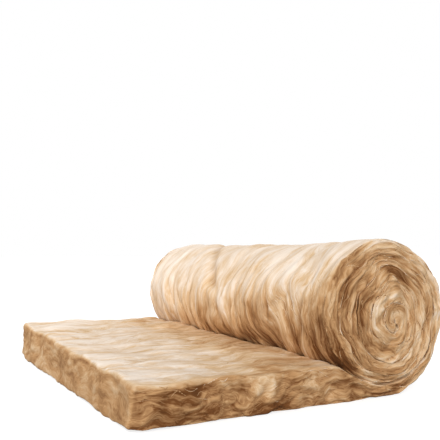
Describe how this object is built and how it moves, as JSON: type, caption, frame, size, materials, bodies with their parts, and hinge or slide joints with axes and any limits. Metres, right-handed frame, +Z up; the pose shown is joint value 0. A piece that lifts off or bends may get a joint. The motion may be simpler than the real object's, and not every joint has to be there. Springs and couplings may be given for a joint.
{
  "type": "insulation roll",
  "caption": "Part-unrolled glass wool blanket: a loosely wound roll lying on its side, its free end run out flat on the floor, for laying between and over loft joists.",
  "frame": {"origin": "on the floor, at the middle of the box round the roll and its free end", "axes": "+X along the roll's axis, +Y from the cut end towards the roll, +Z up"},
  "size_m": [1.14, 0.9, 0.414],
  "materials": {
    "glass_wool": "bare glass wool, tan with cream strands and brown creases, matt and fibrous"
  },
  "bodies": {
    "root": {"glass_wool_blanket": "glass_wool"}
  },
  "joints": []
}
